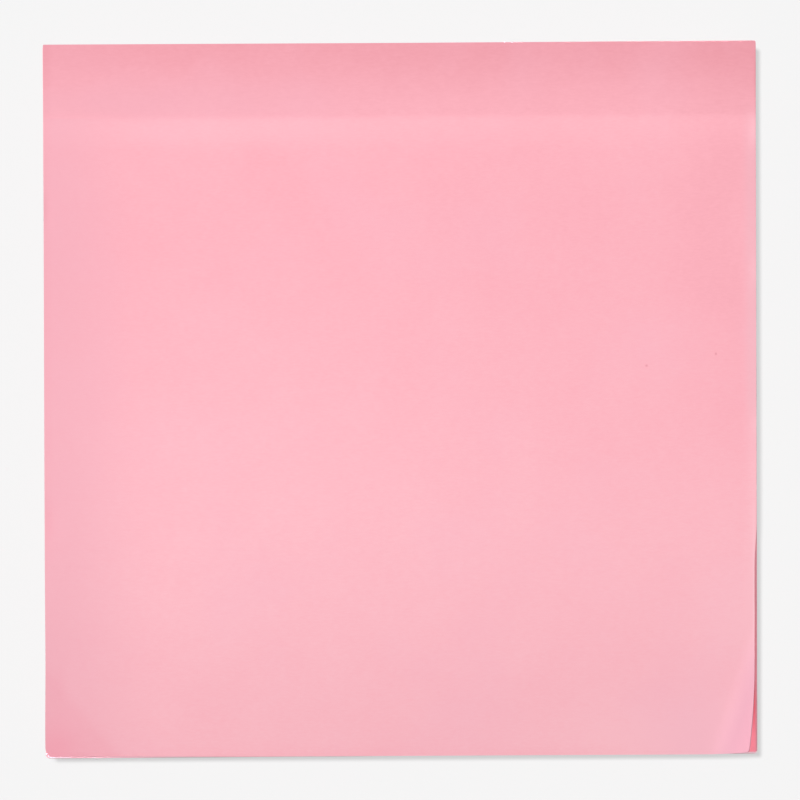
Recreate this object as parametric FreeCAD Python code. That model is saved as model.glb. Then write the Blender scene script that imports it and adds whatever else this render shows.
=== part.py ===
import FreeCAD, Part
import math
import os

# A square pad of repositionable paper notes that lies on its backing sheet.
# X runs across the pad, +Y towards the gummed edge and +Z up.
# The origin is the middle of the backing sheet's lower face.
# All sizes are in millimetres and all angles in degrees.

# Sheets
note_width = 76.0
note_depth = 76.0
sheet_thickness = 0.1
block_sheets = 98
backing_thickness = 0.14

# Gum: a thin strip along the back edge of each note's underside, clear of the sheet's edges
gum_band_depth = 7.8
gum_thickness = 0.03
gum_edge_margin = 0.3

# Guillotined stack: how far the cut along the right-hand side has run in at the free edge, and
# how far one sheet's edge stands from the next
side_cut_run_in = 0.35
side_creep = 0.05
free_edge_creep = 0.07
gummed_edge_creep = 0.02
backing_setback = 0.15

# Loose notes: how far each one's free part springs up from what lies below it, over what run
# past the gum line, and the share of that it has lost again at the free edge
second_note_rise = 0.12
top_note_rise = 0.3
rise_run = 6.0
free_edge_settle = 0.3

# Bow of the top note's free part, and how far its crest leans towards the free edge:
# 1 puts it halfway, and more puts it nearer that edge
top_note_bow = 1.2
bow_lean = 1.9

# How far the top note is stuck on askew
top_note_turn = -0.1

# Right-hand free corner of the top note, which has curled up beyond a slanting line:
# how far from the corner that line meets the side edge and the free edge
curl_length = 16.5
curl_width = 5.4
curl_radius = 4.9

# Guide points of a note's surface, in lines over the curl and over the plain part
lines_over_curl = 9
lines_over_plain_part = 9

GOLDEN_SHARE = (math.sqrt(5) - 1) / 2
UP = FreeCAD.Vector(0, 0, 1)

half_width = note_width / 2
half_depth = note_depth / 2
gum_line = half_depth - gum_band_depth
free_depth = note_depth - gum_band_depth

# Levels, from the table up
block_bottom = backing_thickness + gum_thickness
block_top = block_bottom + block_sheets * sheet_thickness
second_note_bottom = block_top + gum_thickness
second_note_top = second_note_bottom + sheet_thickness
top_note_bottom = second_note_top + gum_thickness


def creep(index, phase):
    """A share from -1 to 1 that differs from sheet to sheet and is the same in every build."""
    return 2 * ((index * GOLDEN_SHARE + phase) % 1.0) - 1


def cut(x, y):
    """Where a point of a truly square sheet stands once the right-hand side is cut out of square."""
    towards_side = (x + half_width) / note_width
    towards_free_edge = (half_depth - y) / note_depth
    return x - side_cut_run_in * towards_side * towards_free_edge


def slab(left, right, front, back, bottom, thickness):
    """A flat sheet or film between these lines of the truly square sheet."""
    outline = ((left, front), (right, front), (right, back), (left, back), (left, front))
    points = [FreeCAD.Vector(cut(x, y), y, bottom) for x, y in outline]
    return Part.Face(Part.makePolygon(points)).extrude(UP * thickness)


def block_sheet(index):
    """One sheet of the block, a little out of line with its neighbours as the knife left it."""
    left = -half_width + side_creep * creep(index, 0.10)
    right = half_width + side_creep * creep(index, 0.37)
    front = -half_depth + free_edge_creep * creep(index, 0.62)
    back = half_depth + gummed_edge_creep * creep(index, 0.84)
    bottom = block_bottom + index * sheet_thickness
    return slab(left, right, front, back, bottom, sheet_thickness)


def note_block():
    """The tight part of the pad: every sheet under the loose ones, as one stack."""
    sheets = [block_sheet(index) for index in range(block_sheets)]
    if len(sheets) == 1:
        return sheets[0]
    return sheets[0].multiFuse(sheets[1:]).removeSplitter()


def backing_sheet():
    """The coated sheet that covers the last note's gum."""
    side = half_width - backing_setback
    end = half_depth - backing_setback
    return slab(-side, side, -end, end, 0, backing_thickness)


def gum_strip(bottom):
    """Gum between the sheet that ends at this level and the one above it."""
    side = half_width - gum_edge_margin
    front, back = gum_line + gum_edge_margin, half_depth - gum_edge_margin
    return slab(-side, side, front, back, bottom, gum_thickness)


def steps(start, end, count):
    """Evenly spaced values from start up to, but without, end."""
    return [start + (end - start) * step / count for step in range(count)]


def guide_columns():
    """Where the guide points stand across a note, close together over the curl."""
    curl_start = half_width - curl_width
    return (
        steps(-half_width, curl_start, lines_over_plain_part)
        + steps(curl_start, half_width, lines_over_curl)
        + [half_width]
    )


def guide_rows():
    """Where the guide points stand from the free edge up to the gum line."""
    curl_end = -half_depth + curl_length
    return (
        steps(-half_depth, curl_end, lines_over_curl)
        + steps(curl_end, gum_line, lines_over_plain_part)
        + [gum_line]
    )


def sprung(x, y, rise):
    """A point of a free part: it rises fast just past the gum line, then levels and settles."""
    past_gum = gum_line - y
    level = rise * (1 - math.exp(-past_gum / rise_run))
    kept = 1 - free_edge_settle * (past_gum / free_depth) ** 3
    return FreeCAD.Vector(cut(x, y), y, level * kept)


def bow(y):
    """How far the top note's free part arches up between the gum line and its free edge."""
    past_gum = (gum_line - y) / free_depth
    return top_note_bow * math.sin(math.pi * past_gum**bow_lean)


def curled(point):
    """Roll up what lies beyond the slanting line across the corner, on a cylinder along that line."""
    slant = math.hypot(curl_length, curl_width)
    outward = FreeCAD.Vector(curl_length / slant, -curl_width / slant, 0)
    on_line = FreeCAD.Vector(half_width, -half_depth + curl_length, 0)
    beyond = (FreeCAD.Vector(point.x, point.y, 0) - on_line).dot(outward)
    if beyond <= 0:
        return point
    turn = beyond / curl_radius
    across = (curl_radius - point.z) * math.sin(turn) - beyond
    up = curl_radius - (curl_radius - point.z) * math.cos(turn) - point.z
    return point + outward * across + UP * up


def second_note_point(x, y):
    """A point of the second note, which is only sprung off the block."""
    return sprung(x, y, second_note_rise)


def top_note_point(x, y):
    """A point of the top note, which is sprung off the second one, curled at its corner, and bowed."""
    return curled(sprung(x, y, second_note_rise + top_note_rise)) + UP * bow(y)


def surface_normal(place, x, y):
    """The upward normal of a note's surface where this flat point ends up."""
    small = 0.01
    along_x = place(x + small, y) - place(x - small, y)
    along_y = place(x, min(y + small, gum_line)) - place(x, y - small)
    return along_x.cross(along_y).normalize()


def loose_note(place, bottom):
    """A note whose gummed band lies flat at this level and whose free part follows place(x, y)."""
    base = UP * bottom
    lower, upper = [], []
    for x in guide_columns():
        lower_line, upper_line = [], []
        for y in guide_rows():
            thick_way = UP if y == gum_line else surface_normal(place, x, y)
            lower_line.append(place(x, y) + base)
            upper_line.append(place(x, y) + base + thick_way * sheet_thickness)
        lower.append(lower_line)
        upper.append(upper_line)
    skins = []
    for points in (lower, upper):
        skin = Part.BSplineSurface()
        skin.interpolate(points)
        skins.append(skin.toShape())
    sides = [Part.makeRuledSurface(*pair) for pair in zip(skins[0].Edges, skins[1].Edges)]
    shell = Part.makeShell(skins + sides)
    shell.sewShape()
    free_part = Part.makeSolid(shell)
    if free_part.Volume < 0:
        free_part.reverse()
    band = slab(-half_width, half_width, gum_line, half_depth, bottom, sheet_thickness)
    return band.fuse(free_part).removeSplitter()


def turned(shape):
    """Turn a shape by the top note's small misalignment."""
    shape.rotate(FreeCAD.Vector(0, half_depth, 0), UP, top_note_turn)
    return shape


parts = {
    "backing_sheet": backing_sheet(),
    "backing_gum": gum_strip(backing_thickness),
    "note_block": note_block(),
    "second_note_gum": gum_strip(block_top),
    "second_note": loose_note(second_note_point, second_note_bottom),
    "top_note_gum": turned(gum_strip(second_note_top)),
    "top_note": turned(loose_note(top_note_point, top_note_bottom)),
}

os.makedirs("parts", exist_ok=True)
for name, shape in parts.items():
    shape.exportStep(f"parts/{name}.step")
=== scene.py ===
import math

import bpy
import numpy as np
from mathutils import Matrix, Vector, noise


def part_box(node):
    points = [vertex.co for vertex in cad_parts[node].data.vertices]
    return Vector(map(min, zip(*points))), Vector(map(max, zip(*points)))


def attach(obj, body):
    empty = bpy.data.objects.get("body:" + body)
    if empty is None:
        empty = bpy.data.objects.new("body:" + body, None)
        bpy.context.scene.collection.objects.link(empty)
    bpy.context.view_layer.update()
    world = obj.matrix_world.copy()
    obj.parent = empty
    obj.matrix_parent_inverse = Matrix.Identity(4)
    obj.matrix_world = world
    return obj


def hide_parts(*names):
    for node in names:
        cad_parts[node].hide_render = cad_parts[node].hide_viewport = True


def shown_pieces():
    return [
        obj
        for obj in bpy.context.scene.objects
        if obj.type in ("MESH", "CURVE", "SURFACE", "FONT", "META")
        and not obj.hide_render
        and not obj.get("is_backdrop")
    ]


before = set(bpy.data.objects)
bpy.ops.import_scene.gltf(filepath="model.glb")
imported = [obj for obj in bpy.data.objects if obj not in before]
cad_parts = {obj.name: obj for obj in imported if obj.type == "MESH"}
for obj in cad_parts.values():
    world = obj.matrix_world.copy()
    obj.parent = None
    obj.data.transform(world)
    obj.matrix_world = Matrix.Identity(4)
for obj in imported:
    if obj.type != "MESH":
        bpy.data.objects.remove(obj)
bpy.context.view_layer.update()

MM = 0.001

# The pad's sizes in millimetres, as in the CAD source
HALF = 38.0
SHEET = 0.1
BLOCK_SHEETS = 98
GUM_LINE = 30.2
FREE_DEPTH = GUM_LINE + HALF
RUN_IN = 0.35
SIDE_CREEP, FREE_CREEP, GUMMED_CREEP = 0.05, 0.07, 0.02
SECOND_RISE, TOP_RISE = 0.12, 0.3
RISE_RUN, SETTLE = 6.0, 0.3
TOP_BOW, BOW_LEAN = 1.2, 1.9
TURN = math.radians(-0.1)
CURL_LENGTH, CURL_WIDTH, CURL_RADIUS = 16.5, 5.4, 4.9
CURL_SLANT = math.hypot(CURL_LENGTH, CURL_WIDTH)
OUT_X, OUT_Y = CURL_LENGTH / CURL_SLANT, -CURL_WIDTH / CURL_SLANT   # from the curl's line to its corner

# What the solids leave out, in millimetres: shifted edges, then the radii of the sheets' corners
SHIFTS = {"lower_left": 0.16, "top_left": 0.10, "set_back": 0.13, "drawn_in": 0.22, "held_out": 0.14}
TOP_CORNERS, SECOND_CORNERS = (0.9, 0.3, 0.15, 0.1), (0.35, 0.25, 0.15, 0.1)   # from front left, round
BLOCK_CORNER = 0.3
TOP_WAVES, SECOND_WAVES = (0.02, 17), (0.008, 9)        # height and length of the loose notes' waves
WAVES_RUN = 8                                           # how far past the gum line they are full
KNIFE_MARKS, KNIFE_WAVES = (0.010, 1.3), (0.014, 9.0)   # depth and length along the block's cut edges
SHEET_GAP = 0.002                                       # under each sheet of the block
SHEET_FILL, FILL_VARIES = 0.90, 0.05                    # share of its pitch that a sheet fills

# Spacing of the notes' meshes: plain, and finer within a rim along the edges
COARSE = 0.5
RIM, RIM_STEP = 0.9, 0.12
SIDE_PARTS = 30   # and how many parts a side of a block sheet has
SHARP_ANGLE = math.radians(40)

# Dents and swellings at the top note's edges: place, size and height
DENTS = (
    ((HALF, 27.8), (0.7, 1.9), 0.10),
    ((HALF, 13.2), (0.6, 1.7), 0.06),
    ((HALF, -3.2), (0.6, 1.5), 0.06),
    ((-HALF, 20.2), (0.6, 1.6), -0.05),
    ((-HALF, -12.6), (1.5, 2.4), -0.07),
    ((-HALF, -34), (3.2, 7), -0.16),
)


# Shapes

def level(node):
    """The height in mm of a node's underside, which is its gummed band's on a note."""
    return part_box(node)[0].z / MM


def uneven(x, y, waves, seed):
    """Smooth unevenness of this height and length at a place in mm."""
    height, length = waves
    return height * noise.noise(Vector((x / length, y / length, seed)))


def ripple(x, y, waves, seed):
    """The same over arrays of places on a note, and none on its gummed band."""
    flat = [uneven(*place, waves, seed) for place in zip(x.ravel(), y.ravel())]
    return np.array(flat).reshape(x.shape) * np.clip((GUM_LINE - y) / WAVES_RUN, 0, 1)


def cut(x, y):
    """Where a square sheet's point stands once its right side is cut out of square."""
    return x - RUN_IN * (x + HALF) / (2 * HALF) * (HALF - y) / (2 * HALF)


def curl(x, y, z):
    """Roll what lies beyond a slanting line across the right free corner up on a cylinder."""
    beyond = np.maximum((x - HALF) * OUT_X + (y + HALF - CURL_LENGTH) * OUT_Y, 0)
    turn = beyond / CURL_RADIUS
    across = np.where(beyond > 0, (CURL_RADIUS - z) * np.sin(turn) - beyond, 0)
    up = np.where(beyond > 0, CURL_RADIUS - (CURL_RADIUS - z) * np.cos(turn) - z, 0)
    return x + OUT_X * across, y + OUT_Y * across, z + up


def sprung(y, rise):
    """Height of a free part over its gummed band, for places in mm."""
    past = np.maximum(GUM_LINE - y, 0)
    return rise * (1 - np.exp(-past / RISE_RUN)) * (1 - SETTLE * (past / FREE_DEPTH) ** 3)


def bow(y):
    """How far the top note's free part arches up between the gum line and its free edge."""
    past = np.clip((GUM_LINE - y) / FREE_DEPTH, 0, 1)
    return TOP_BOW * np.sin(math.pi * past ** BOW_LEAN)


def bump(x, y, at, size, height):
    """A soft dent or swelling of this height at a place."""
    return height * np.exp(-((x - at[0]) / size[0]) ** 2 - ((y - at[1]) / size[1]) ** 2)


def ease(value, start, end):
    """0 at start and 1 at end, smooth between them."""
    share = np.clip((value - start) / (end - start), 0, 1)
    return share * share * (3 - 2 * share)


def lower_sheets(x, y):
    """The side cut, and the little that the lower sheets stand out at the left free corner."""
    return cut(x, y) - SHIFTS["lower_left"] * ease(x, 0, -HALF) * ease(y, -20, -HALF)


def top_note_place(x, y):
    """Where the top note's underside stands, for places of the flat note."""
    z = sprung(y, SECOND_RISE + TOP_RISE)
    z = z + ripple(x, y, TOP_WAVES, 3.1)
    for at, size, height in DENTS:
        z = z + bump(x, y, at, size, height)
    lift = bow(y)
    right_edge = ease(x, 35.5, HALF)
    drawn_in = SHIFTS["drawn_in"] * right_edge * ease(y, -13, -18) * ease(y, -32, -21)
    held_out = SHIFTS["held_out"] * right_edge * ease(y, -25, -HALF)
    left_out = SHIFTS["top_left"] * ease(x, -30, -HALF) * ease(y, -27, -36)
    set_back = SHIFTS["set_back"] * ease(x, -14, -36) * ease(y, -34, -HALF)
    x, y, z = curl(cut(x, y) - drawn_in, y + set_back, z)
    return x + held_out - left_out, y, z + lift


def second_note_place(x, y):
    """Where the second note's underside stands, for places of the flat note."""
    return lower_sheets(x, y), y, sprung(y, SECOND_RISE) + ripple(x, y, SECOND_WAVES, 7.7)


def spread():
    """Grid lines across a note: evenly spaced, and closer together over the rim at both ends."""
    side = HALF - RIM
    inner = np.linspace(-side, side, round(2 * side / COARSE) + 1)
    outer = np.linspace(0, RIM, round(RIM / RIM_STEP) + 1)[:-1]
    return np.concatenate([outer - HALF, inner, (HALF - outer)[::-1]])


def round_corner(x, y, radii):
    """Round the corners of a square grid's outline: front left, front right, back right, back left."""
    for (side_x, side_y), radius in zip(((-1, -1), (1, -1), (1, 1), (-1, 1)), radii):
        middle = HALF - radius
        out_x, out_y = side_x * x - middle, side_y * y - middle
        inside = (out_x > 0) & (out_y > 0)
        away = np.where(inside, np.hypot(out_x, out_y), 1)
        scale = np.maximum(out_x, out_y) / away
        x = np.where(inside, side_x * (middle + out_x * scale), x)
        y = np.where(inside, side_y * (middle + out_y * scale), y)
    return x, y


def make(name, vertices, faces):
    """A mesh object from places in mm."""
    mesh = bpy.data.meshes.new(name)
    mesh.from_pydata([tuple(v) for v in np.asarray(vertices) * MM], [], faces)
    mesh.update()
    mesh.polygons.foreach_set("use_smooth", [True] * len(mesh.polygons))
    mesh.set_sharp_from_angle(angle=SHARP_ANGLE)
    piece = bpy.data.objects.new(name, mesh)
    bpy.context.scene.collection.objects.link(piece)
    return piece


def turned(points, angle):
    """Turn places about the middle of the gummed edge."""
    x, y, z = points.T
    away = y - HALF
    turned_x = x * math.cos(angle) - away * math.sin(angle)
    turned_y = HALF + x * math.sin(angle) + away * math.cos(angle)
    return np.stack([turned_x, turned_y, z], axis=-1)


def note_mesh(name, place, bottom, radii, turn=0.0):
    """A closed sheet: the grid of its underside, the same grid a thickness off it, and the cut edge."""
    line = spread()
    x, y = round_corner(*np.meshgrid(line, line, indexing="ij"), radii)
    under = np.stack(place(x, y), axis=-1)
    normal = np.cross(np.gradient(under, axis=0), np.gradient(under, axis=1))
    normal /= np.linalg.norm(normal, axis=-1, keepdims=True)
    over = under + normal * SHEET
    points = np.concatenate([under.reshape(-1, 3), over.reshape(-1, 3)])
    points = turned(points, turn) + (0, 0, bottom)

    grid = np.arange(len(line) ** 2).reshape(len(line), len(line))
    layer = grid.size
    corners = (grid[:-1, :-1], grid[1:, :-1], grid[1:, 1:], grid[:-1, 1:])
    faces = []
    for a, b, c, d in zip(*(corner.ravel().tolist() for corner in corners)):
        faces.append((a, d, c, b))
        faces.append((a + layer, b + layer, c + layer, d + layer))
    sides = (grid[:-1, 0], grid[-1, :-1], grid[:0:-1, -1], grid[0, :0:-1])
    rim = np.concatenate(sides).tolist()
    for a, b in zip(rim, rim[1:] + rim[:1]):
        faces.append((a, b, b + layer, a + layer))
    return make(name, points, faces)


def creep(index, phase):
    """A share from -1 to 1 that differs from sheet to sheet, as in the CAD source."""
    golden = (math.sqrt(5) - 1) / 2
    return 2 * ((index * golden + phase) % 1.0) - 1


def outline(left, right, front, back, radius):
    """Points round a rectangle with rounded corners."""
    arcs = []
    for x, y, start in ((right, front, -90), (right, back, 0), (left, back, 90), (left, front, 180)):
        middle_x, middle_y = x - math.copysign(radius, x), y - math.copysign(radius, y)
        angles = [math.radians(start + 30 * step) for step in range(4)]
        arcs.append([(middle_x + radius * math.cos(a), middle_y + radius * math.sin(a)) for a in angles])
    points = []
    for arc, following in zip(arcs, arcs[1:] + arcs[:1]):
        points += arc
        (x, y), (end_x, end_y) = arc[-1], following[0]
        for step in range(1, SIDE_PARTS):
            share = step / SIDE_PARTS
            points.append((x + (end_x - x) * share, y + (end_y - y) * share))
    return points


def knife_cut(x, y, index):
    """Where a place on a block sheet's edge stands, with the knife's fine marks and waves."""
    off = uneven(x, y, KNIFE_MARKS, 0.5) + uneven(x, y, KNIFE_WAVES, index * 0.83)
    if abs(x) > abs(y):
        return lower_sheets(x, y) + off * math.copysign(1, x), y
    return lower_sheets(x, y), y + off * math.copysign(1, y)


def block_mesh():
    """Every sheet of the block as its own thin closed slab."""
    bottom, top = (corner.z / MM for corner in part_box("note_block"))
    pitch = (top - bottom) / BLOCK_SHEETS
    vertices, faces = [], []
    for index in range(BLOCK_SHEETS):
        left = -HALF + SIDE_CREEP * creep(index, 0.10)
        right = HALF + SIDE_CREEP * creep(index, 0.37)
        front = -HALF + FREE_CREEP * creep(index, 0.62)
        back = HALF + GUMMED_CREEP * creep(index, 0.84)
        low = bottom + index * pitch + SHEET_GAP
        high = low + pitch * (SHEET_FILL + FILL_VARIES * creep(index, 0.21))
        ring = [knife_cut(x, y, index) for x, y in outline(left, right, front, back, BLOCK_CORNER)]
        start, count = len(vertices), len(ring)
        for z in (low, high):
            vertices += [(x, y, z) for x, y in ring]
        faces.append(tuple(start + i for i in range(count - 1, -1, -1)))
        faces.append(tuple(start + count + i for i in range(count)))
        for i in range(count):
            j = (i + 1) % count
            faces.append((start + i, start + j, start + count + j, start + count + i))
    return make("note_sheets", vertices, faces)


top_note = note_mesh("top_note_sheet", top_note_place, level("top_note"), TOP_CORNERS, TURN)
second_note = note_mesh("second_note_sheet", second_note_place, level("second_note"), SECOND_CORNERS)
note_sheets = block_mesh()


# Materials

class Nodes:
    """Short calls for building a material's node tree. Every place is the object's own, in mm."""

    def __init__(self, name):
        self.material = bpy.data.materials.new(name)
        self.material.use_nodes = True
        self.tree = self.material.node_tree
        self.tree.nodes.clear()
        coords = self.add("ShaderNodeTexCoord").outputs["Object"]
        self.mm = self.vector("MULTIPLY", coords, (1000, 1000, 1000))
        split = self.add("ShaderNodeSeparateXYZ")
        self.link(self.mm, split.inputs[0])
        self.x, self.y, self.z = split.outputs

    def add(self, kind, **settings):
        node = self.tree.nodes.new(kind)
        for key, value in settings.items():
            setattr(node, key, value)
        return node

    def link(self, source, target):
        self.tree.links.new(source, target)

    def put(self, value, target):
        if isinstance(value, bpy.types.NodeSocket):
            self.link(value, target)
        else:
            target.default_value = value

    def math(self, operation, a, b=0.0):
        node = self.add("ShaderNodeMath", operation=operation)
        self.put(a, node.inputs[0])
        self.put(b, node.inputs[1])
        return node.outputs[0]

    def times(self, a, b):
        return self.math("MULTIPLY", a, b)

    def vector(self, operation, a, b):
        node = self.add("ShaderNodeVectorMath", operation=operation)
        self.put(a, node.inputs[0])
        self.put(b, node.inputs[1])
        return node.outputs[0]

    def fade(self, value, start, end, low=0.0, high=1.0):
        """low up to start, high from end on, and smooth between them."""
        node = self.add("ShaderNodeMapRange", interpolation_type="SMOOTHSTEP")
        for target, item in zip(node.inputs, (value, start, end, low, high)):
            self.put(item, target)
        return node.outputs[0]

    def noise(self, size, detail=2.0, stretch=(1, 1, 1)):
        """Noise about 0, from about -0.5 to 0.5, with features of this size in mm."""
        node = self.add("ShaderNodeTexNoise")
        self.link(self.vector("DIVIDE", self.mm, tuple(size * s for s in stretch)), node.inputs["Vector"])
        node.inputs["Scale"].default_value = 1.0
        node.inputs["Detail"].default_value = detail
        return self.math("SUBTRACT", node.outputs[0], 0.5)

    def spot(self, x, y, wide, deep, height=1.0):
        """height at a place, falling off to nothing round it."""
        dx = self.math("DIVIDE", self.math("SUBTRACT", self.x, x), wide)
        dy = self.math("DIVIDE", self.math("SUBTRACT", self.y, y), deep)
        away = self.math("ADD", self.math("POWER", dx, 2.0), self.math("POWER", dy, 2.0))
        return self.times(self.math("EXPONENT", self.times(away, -1.0)), height)

    def total(self, *values):
        result = values[0]
        for value in values[1:]:
            result = self.math("ADD", result, value)
        return result

    def ramp(self, factor, stops):
        """A colour from stops of (position, colour)."""
        node = self.add("ShaderNodeValToRGB")
        band = node.color_ramp
        while len(band.elements) < len(stops):
            band.elements.new(0.5)
        for element, (position, colour) in zip(band.elements, stops):
            element.position = position
            element.color = (*colour, 1)
        self.put(factor, node.inputs[0])
        return node.outputs[0]

    def mix(self, factor, a, b):
        """Colour a at factor 0 and colour b at 1."""
        node = self.add("ShaderNodeMix", data_type="RGBA")
        self.put(factor, node.inputs[0])
        for colour, target in ((a, node.inputs[6]), (b, node.inputs[7])):
            self.put(colour if isinstance(colour, bpy.types.NodeSocket) else (*colour, 1), target)
        return node.outputs[2]

    def finish(self, colour, roughness, shine, height, bump, through=None):
        """The material. bump is its relief in mm, and through the share of light it lets through."""
        shader = self.add("ShaderNodeBsdfPrincipled")
        self.put(colour, shader.inputs["Base Color"])
        self.put(roughness, shader.inputs["Roughness"])
        shader.inputs["Specular IOR Level"].default_value = shine
        relief = self.add("ShaderNodeBump")
        relief.inputs["Strength"].default_value = 1.0
        relief.inputs["Distance"].default_value = bump * MM
        self.link(height, relief.inputs["Height"])
        self.link(relief.outputs[0], shader.inputs["Normal"])
        surface = shader.outputs[0]
        if through is not None:
            thin = self.add("ShaderNodeBsdfTranslucent")
            self.put(colour, thin.inputs["Color"])
            blend = self.add("ShaderNodeMixShader")
            self.put(through, blend.inputs[0])
            self.link(surface, blend.inputs[1])
            self.link(thin.outputs[0], blend.inputs[2])
            surface = blend.outputs[0]
        out = self.add("ShaderNodeOutputMaterial")
        self.link(surface, out.inputs[0])
        return self.material


def srgb(r, g, b):
    """A colour as it is seen, 0 to 255, in the renderer's linear values."""
    return tuple(((c / 255 + 0.055) / 1.055) ** 2.4 for c in (r, g, b))


# The dyed paper, from its darkest to its palest tone
PAPER_STOPS = (
    (0.0, srgb(237, 156, 168)),
    (0.6, srgb(252, 177, 189)),
    (1.0, srgb(255, 191, 201)),
)
# Pinks the top note is mixed towards: a bluer dye with painted light by the curl, and painted shade,
# light and highlight at its edges, bent corner and curl
BLUER_PINK, LEFT_SHADE_PINK, RIGHT_SHADE_PINK = srgb(249, 186, 202), srgb(238, 171, 185), srgb(241, 183, 194)
BENT_CORNER_SHADE_PINK, CURL_COOL_LIGHT_PINK, RIM_HIGHLIGHT_PINK = srgb(244, 160, 176), srgb(239, 177, 195), srgb(255, 206, 214)
PAPER_ROUGHNESS, PAPER_SHINE, PAPER_BUMP = 0.86, 0.3, 0.006
SHADED_FOLD_PLACE, SHADED_FOLD_INWARD = (-36.5, -30.4), (0.763, 0.646)   # a place on the line of the bent corner's painted shade, and inward

# Paler and darker spots of the top note, most of them painted light and shade: place, half width, half
# depth and tone
TONE_SPOTS = (
    (-36.7, -30.2, 0.8, 2.2, -0.14),    # painted shade where the bent corner's line meets the left edge
    (-37.9, -37.8, 0.9, 0.5, -0.35),    # painted shade at the left free corner
    (-37.9, 20.3, 0.4, 1.6, -0.45),     # painted shade in dents of the left edge
    (-37.7, -12.6, 0.6, 2.6, -0.30),
    (37.75, 28.2, 0.45, 1.6, 0.35),     # painted light on swellings of the right edge
    (37.75, 13.2, 0.4, 1.3, 0.20),
    (37.75, -3.2, 0.4, 1.2, 0.20),
    (38.1, 33.5, 0.25, 4.5, -0.40),     # the gummed band's right edge
    (26.1, 3.4, 0.13, 0.11, -0.9),      # two specks
    (33.5, 4.6, 0.10, 0.13, -0.9),
    (36.8, 18.6, 2.4, 4.6, 0.13),       # soft clouds
    (36.5, -23.0, 4.5, 5.0, 0.12),
    (24.0, -5.5, 9.0, 8.0, -0.09),
    (-17.0, 2.0, 16.0, 40.0, 0.05),
)


def paper_grain(n):
    """The paper's fine cloudiness: fibre clumps, short fibres laid mostly one way, and wide clouds."""
    clumps = n.noise(0.9, 3.0)
    fibres = n.noise(0.22, stretch=(2.6, 0.8, 1))
    clouds = n.noise(7.0)
    return clumps, fibres, clouds


def paper_height(n, clumps, fibres):
    """The paper's fine relief."""
    return n.total(n.times(fibres, 0.7), clumps)


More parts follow.
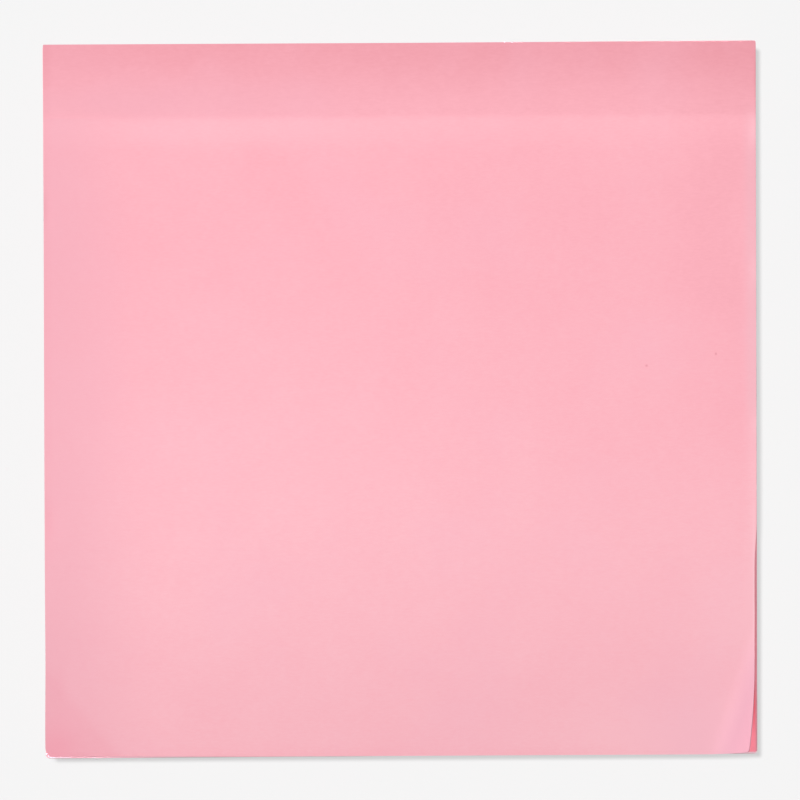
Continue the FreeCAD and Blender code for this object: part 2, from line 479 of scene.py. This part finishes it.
def top_note_paper():
    """The top note's paper: its tones, and painted light and shade at its gummed band, edges, corners and
    just past the gum line.
    """
    n = Nodes("top_note_paper")
    clumps, fibres, clouds = paper_grain(n)
    gum = n.fade(n.y, GUM_LINE - 0.25, GUM_LINE + 0.25)
    # where the painted highlight just past the gum line falls
    crease_highlight = n.times(n.fade(n.y, 30.5, 29.6), n.fade(n.y, 26.0, 29.0))
    shaded_fold = n.total(   # how far inside the line a place is, beyond which the left free corner gets painted shade
        n.times(n.math("SUBTRACT", n.x, SHADED_FOLD_PLACE[0]), SHADED_FOLD_INWARD[0]),
        n.times(n.math("SUBTRACT", n.y, SHADED_FOLD_PLACE[1]), SHADED_FOLD_INWARD[1]),
    )
    tone = n.total(
        n.times(clumps, 0.14),
        n.times(fibres, 0.30),
        n.times(clouds, 0.18),
        n.fade(n.y, 24.0, -18.0, 0.62, 0.88),    # painted light: paler from back to front, as the note arches up off the block
        # painted shade towards the free edge, where the note slopes down
        n.fade(n.y, -22.0, -36.0, 0.0, -0.03),
        n.fade(n.y, -36.5, -HALF, 0.0, -0.08),   # painted shade at the free edge
        n.times(n.fade(n.x, 8.0, 28.0, 0.0, 0.20), n.fade(n.y, -30.0, -36.5)),      # its pale right part
        n.times(n.fade(n.x, 36.0, 37.7, 0.0, 0.18), n.fade(n.y, 22.0, 12.0)),       # painted light along the right edge
        n.times(n.fade(n.x, 26.0, 36.0, 0.0, -0.14), n.fade(n.y, -16.0, 0.0)),      # painted shade on the back right
        n.times(n.fade(n.x, -36.9, -37.7, 0.0, -0.14), n.fade(n.y, -12.0, -4.0)),   # painted shade along the left edge
        n.fade(shaded_fold, 0.8, -0.8, 0.0, -0.22),     # painted shade of the bent corner
        *(n.spot(*spot) for spot in TONE_SPOTS),
        n.times(gum, n.fade(n.y, GUM_LINE, HALF, -0.05, -0.46)),   # darker to the gummed edge: partly the gum seen through the paper, partly painted shade
        # painted highlight just past the gum line, where the free part rises
        n.times(crease_highlight, n.math("ADD", n.spot(-17.0, 29.0, 14.0, 9.0, 0.09), 0.10)),
    )
    colour = n.ramp(tone, PAPER_STOPS)

    drift = n.noise(12.0, 3.0)   # the dye is a little bluer here and there, and by the curled corner painted light makes it bluer, as the lifted paper gets less pink light from the sheet below
    corner = n.times(n.fade(n.x, 20.0, 37.0), n.fade(n.y, -20.0, -36.0))
    bluer = n.total(n.times(corner, 0.5), n.times(drift, 0.8))
    colour = n.mix(n.math("MAXIMUM", bluer, 0.0), colour, BLUER_PINK)

    # painted shade: deeper pink towards the left edge and along the left of the gummed band
    left_shade = n.times(n.fade(n.x, -25.0, -HALF), n.fade(gum, 0.0, 1.0, 0.55, 0.22))
    left_shade = n.math("MAXIMUM", left_shade, n.spot(-HALF, 31.8, 30.0, 2.6, 0.40))
    colour = n.mix(left_shade, colour, LEFT_SHADE_PINK)
    # painted shade: a duller pink along the right edge
    right_shade = n.times(n.fade(n.x, 36.2, 37.4, 0.0, 0.45), n.fade(n.y, 32.0, 28.0))
    right_shade = n.times(right_shade, n.fade(n.y, -8.0, 0.0))
    colour = n.mix(right_shade, colour, RIGHT_SHADE_PINK)

    # painted shade on the bent left free corner
    bent_corner_shade = n.spot(-37.2, -37.0, 2.4, 2.4, 0.6)
    colour = n.mix(bent_corner_shade, colour, BENT_CORNER_SHADE_PINK)
    # painted highlight: a pale line along the cut edge where the right edge lifts
    edge_highlight = n.spot(37.36, -22.5, 0.09, 8.0, 0.9)
    colour = n.mix(edge_highlight, colour, RIM_HIGHLIGHT_PINK)
    beyond = n.total(   # how far a place lies past the curl's line
        n.times(n.math("SUBTRACT", n.x, HALF), OUT_X),
        n.times(n.math("SUBTRACT", n.y, CURL_LENGTH - HALF), OUT_Y),
    )
    # painted light on the curl: a cooler pink, as the lifted paper gets less pink light from the sheet
    # below
    colour = n.mix(n.fade(beyond, -0.3, 2.2, 0.0, 0.75), colour, CURL_COOL_LIGHT_PINK)
    return n.finish(
        colour, PAPER_ROUGHNESS, PAPER_SHINE, paper_height(n, clumps, fibres), PAPER_BUMP,
        through=n.fade(beyond, 0.3, 2.5, 0.0, 0.10),   # only where the sheet stands clear of the next one
    )


def second_note_paper():
    """The second note's paper: painted shade and pink bounced light in the opening under the curl,
    painted shade along its rim, and a painted light line along its front edge.
    """
    n = Nodes("second_note_paper")
    clumps, fibres, _ = paper_grain(n)
    tone = n.total(n.times(clumps, 0.5), n.times(fibres, 0.5), 0.5)
    # painted shade: the second note's rim is darker where the top note's edge shades it
    rim = n.ramp(tone, ((0.0, srgb(208, 134, 146)), (1.0, srgb(226, 154, 166))))
    # painted light along the front edge, its colour set darker at the left where the lamps light it more
    front_rim_light = n.mix(n.fade(n.x, -33.5, -31.0), srgb(215, 160, 172), srgb(232, 178, 190))
    front_rim_light = n.mix(n.fade(n.x, -30.0, -20.0), front_rim_light, srgb(238, 207, 216))
    rim = n.mix(n.fade(n.y, -37.7, -37.85), rim, front_rim_light)

    inner = n.times(n.fade(n.x, 37.55, 37.45), n.fade(n.y, -37.9, -37.8))
    opening = n.times(inner, n.times(n.fade(n.y, -12.0, -18.0), n.fade(n.x, 25.0, 32.0)))
    glow = n.fade(n.math("ADD", n.y, n.times(clumps, 1.5)), -32.5, -37.0)
    opening_light_and_shade = n.mix(glow, srgb(228, 108, 122), srgb(255, 148, 165))   # painted shade under the curl and painted pink light from sheet to sheet, brighter towards the open corner
    colour = n.mix(opening, rim, opening_light_and_shade)
    return n.finish(colour, PAPER_ROUGHNESS, PAPER_SHINE, paper_height(n, clumps, fibres), PAPER_BUMP)


def block_paper():
    """The block's paper, each sheet in a tone of its own."""
    n = Nodes("block_paper")
    sheet = n.math("FLOOR", n.math("DIVIDE", n.math("SUBTRACT", n.z, level("note_block")), SHEET))
    shade = n.add("ShaderNodeTexWhiteNoise", noise_dimensions="1D")
    n.link(sheet, shade.inputs["W"])
    facing = n.add("ShaderNodeSeparateXYZ")
    n.link(n.add("ShaderNodeNewGeometry").outputs["Normal"], facing.inputs[0])
    streaks = n.noise(0.5, stretch=(1, 1, 40))
    clumps = n.noise(0.25)
    tone = n.total(
        n.fade(facing.outputs[2], 0.3, 0.7, 0.32, 0.90),   # painted light and shade: a sheet's face paler than its cut edge, where light bounces deep pink between the sheets
        n.times(shade.outputs["Value"], 0.42),
        n.times(streaks, 0.22),
        n.times(clumps, 0.16),
    )
    colour = n.ramp(tone, PAPER_STOPS)
    return n.finish(colour, roughness=0.9, shine=0.25, height=n.total(streaks, clumps), bump=0.01)


def backing_paper():
    """Off-white paper with a coated face."""
    n = Nodes("backing_paper")
    clumps, fibres, clouds = paper_grain(n)
    tone = n.total(0.5, n.times(clumps, 0.5), n.times(clouds, 0.5), fibres)
    stops = ((0.0, srgb(226, 223, 217)), (0.5, srgb(238, 236, 231)), (1.0, srgb(246, 245, 241)))
    roughness = n.fade(clumps, -0.3, 0.3, 0.5, 0.66)
    height = paper_height(n, clumps, fibres)
    return n.finish(n.ramp(tone, stops), roughness, shine=0.4, height=height, bump=PAPER_BUMP)


def gum_film():
    """A thin film of tiny gum beads."""
    n = Nodes("gum_film")
    beads = n.noise(0.12)
    colour = n.ramp(n.math("ADD", beads, 0.5), ((0.2, srgb(232, 196, 196)), (0.8, srgb(246, 222, 218))))
    return n.finish(colour, n.fade(beads, -0.2, 0.2, 0.3, 0.5), shine=0.5, height=beads, bump=0.01)


def dress(piece, material):
    """Give a piece this material alone."""
    piece.data.materials.clear()
    piece.data.materials.append(material)


for piece, node, slot, material in (
    (top_note, "top_note", "note_paper", top_note_paper()),
    (second_note, "second_note", "note_paper", second_note_paper()),
    (note_sheets, "note_block", "stacked_paper", block_paper()),
):
    dress(piece, material)
    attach(piece, "root")
    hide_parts(node)

gum = gum_film()
for name in ("backing_gum", "second_note_gum", "top_note_gum"):
    dress(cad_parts[name], gum)
dress(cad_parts["backing_sheet"], backing_paper())


# Floor, world and light

KEY, SIDE, SKY = 0.585, 0.31, 0.12   # shares of the light that falls on the pad's level surfaces
OPENING_FILL = 0.62                  # and of the lamp that lights the second note alone
FLOOR_KEY = 5.0                      # and of the one that lights the floor alone
GROUND = srgb(245, 245, 245)[0]
LIT_SHARE = 0.28                     # share of the floor's look that the light decides
FLOOR_TONE, FLOOR_CLOUDS = 0.2, 0.001
FLOOR_REACH, FLOOR_DROP = 3, 0.02 * MM   # from its middle to each side in metres, and below the pad

corners = [(x * FLOOR_REACH, y * FLOOR_REACH, 0) for x, y in ((-1, -1), (1, -1), (1, 1), (-1, 1))]
floor_mesh = bpy.data.meshes.new("floor")
floor_mesh.from_pydata(corners, [], [(0, 1, 2, 3)])
floor = bpy.data.objects.new("floor", floor_mesh)
floor.location.z = -FLOOR_DROP
bpy.context.scene.collection.objects.link(floor)
floor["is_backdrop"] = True


def floor_surface():
    """A pale ground that takes the pad's shadow, and is even where nothing shades it."""
    n = Nodes("floor")
    shade = n.math("ADD", n.times(n.noise(60.0, 2.0), FLOOR_CLOUDS), FLOOR_TONE)
    grey = n.add("ShaderNodeCombineColor")
    for channel in range(3):
        n.link(shade, grey.inputs[channel])
    plain = n.add("ShaderNodeBsdfDiffuse")
    n.link(grey.outputs[0], plain.inputs["Color"])
    glow = n.add("ShaderNodeEmission")
    glow.inputs["Color"].default_value = (1, 1, 1, 1)
    lit = LIT_SHARE * FLOOR_TONE * (FLOOR_KEY + SKY)
    glow.inputs["Strength"].default_value = (GROUND - lit) / (1 - LIT_SHARE)
    path = n.add("ShaderNodeLightPath")
    seen = n.math("MAXIMUM", path.outputs["Is Camera Ray"], path.outputs["Is Glossy Ray"])
    seen = n.math("MAXIMUM", seen, path.outputs["Is Transmission Ray"])
    blend = n.add("ShaderNodeMixShader")
    n.link(n.times(seen, 1 - LIT_SHARE), blend.inputs[0])
    n.link(plain.outputs[0], blend.inputs[1])
    n.link(glow.outputs[0], blend.inputs[2])
    out = n.add("ShaderNodeOutputMaterial")
    n.link(blend.outputs[0], out.inputs[0])
    return n.material


dress(floor, floor_surface())

world = bpy.data.worlds.new("studio")
bpy.context.scene.world = world
world.use_nodes = True
tree = world.node_tree
tree.nodes.clear()
sky, backdrop = tree.nodes.new("ShaderNodeBackground"), tree.nodes.new("ShaderNodeBackground")
sky.inputs["Color"].default_value = (1, 1, 1, 1)
sky.inputs["Strength"].default_value = SKY
backdrop.inputs["Color"].default_value = (GROUND, GROUND, GROUND, 1)
rays = tree.nodes.new("ShaderNodeLightPath")
pick = tree.nodes.new("ShaderNodeMixShader")
end = tree.nodes.new("ShaderNodeOutputWorld")
tree.links.new(rays.outputs["Is Camera Ray"], pick.inputs[0])
tree.links.new(sky.outputs[0], pick.inputs[1])
tree.links.new(backdrop.outputs[0], pick.inputs[2])
tree.links.new(pick.outputs[0], end.inputs[0])


def lamp(name, direction, distance, size, share):
    """A soft round lamp that gives this share of a level surface's light."""
    data = bpy.data.lights.new(name, "AREA")
    data.shape = "DISK"
    data.size = size
    towards = Vector(direction).normalized()
    data.energy = math.pi ** 2 * distance ** 2 * share / towards.z
    thing = bpy.data.objects.new(name, data)
    thing.location = towards * distance
    thing.rotation_mode = "QUATERNION"
    thing.rotation_quaternion = towards.to_track_quat("Z", "Y")
    bpy.context.scene.collection.objects.link(thing)
    return thing


def only(name, lamps, things):
    """Let these lamps light nothing but these things."""
    lit = bpy.data.collections.new(name)
    for thing in things:
        lit.objects.link(thing)
    for each in lamps:
        each.light_linking.receiver_collection = lit


floor_key = lamp("floor_key", (-0.07, 0.07, 1), distance=2.0, size=0.10, share=FLOOR_KEY)
pad_key = lamp("pad_key", (-0.40, 0.22, 1), distance=2.0, size=0.30, share=KEY)
pad_side = lamp("pad_side", (-0.45, 0.75, 0.8), distance=1.6, size=0.7, share=SIDE)
opening_fill = lamp("opening_fill", (0.5, -0.3, 1), distance=2.0, size=0.4, share=OPENING_FILL)
only("lit_floor", [floor_key], [floor])
only("lit_pad", [pad_key, pad_side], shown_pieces())
only("lit_opening", [opening_fill], [second_note])


# Camera, straight above the pad

DISTANCE = 0.8
FRAME_WIDTH = 85.30 * MM   # what the photograph's width takes in at the gummed band's level
SENSOR_MM = 36
ASIDE, ROLL = (-0.18 * MM, -0.08 * MM), math.radians(-0.39)   # the photograph is a little off and askew

top_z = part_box("top_note")[0].z + SHEET * MM
camera = bpy.data.objects.new("camera", bpy.data.cameras.new("camera"))
camera.data.sensor_width = SENSOR_MM
camera.data.lens = SENSOR_MM * DISTANCE / FRAME_WIDTH
camera.data.clip_start, camera.data.clip_end = 0.01, 10
camera.location = (*ASIDE, top_z + DISTANCE)
camera.rotation_euler = (0, 0, ROLL)
bpy.context.scene.collection.objects.link(camera)
bpy.context.scene.camera = camera
bpy.context.scene.view_settings.view_transform = "Standard"
